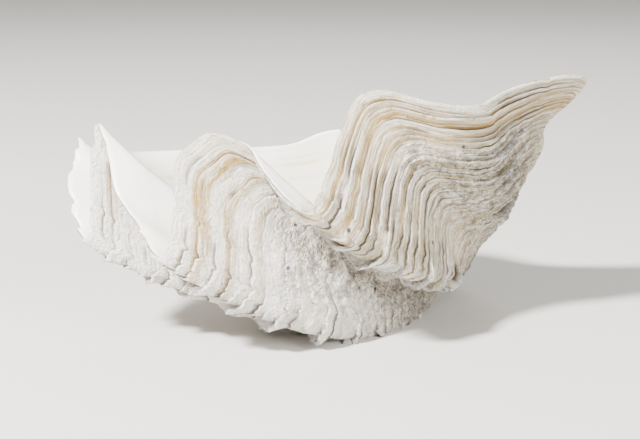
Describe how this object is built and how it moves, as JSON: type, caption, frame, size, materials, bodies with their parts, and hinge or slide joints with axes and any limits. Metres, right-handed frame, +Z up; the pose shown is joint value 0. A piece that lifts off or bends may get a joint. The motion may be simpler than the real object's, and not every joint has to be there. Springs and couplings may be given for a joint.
{
  "type": "giant clam shell",
  "caption": "One deep, scalloped valve of a giant clam, lying belly down with its smooth hollow facing up",
  "frame": {"origin": "on the ground under the middle of the shell's bounding box", "axes": "+X along the shell's length towards the pointed hinge tip, +Y towards the smooth side of the margin, +Z up out of the hollow"},
  "size_m": [0.3904, 0.233, 0.1802],
  "materials": {
    "shell": "chalky, weathered outside with stained growth lines; smooth porcelain-white inside"
  },
  "bodies": {
    "root": {"shell": "shell"}
  },
  "joints": []
}
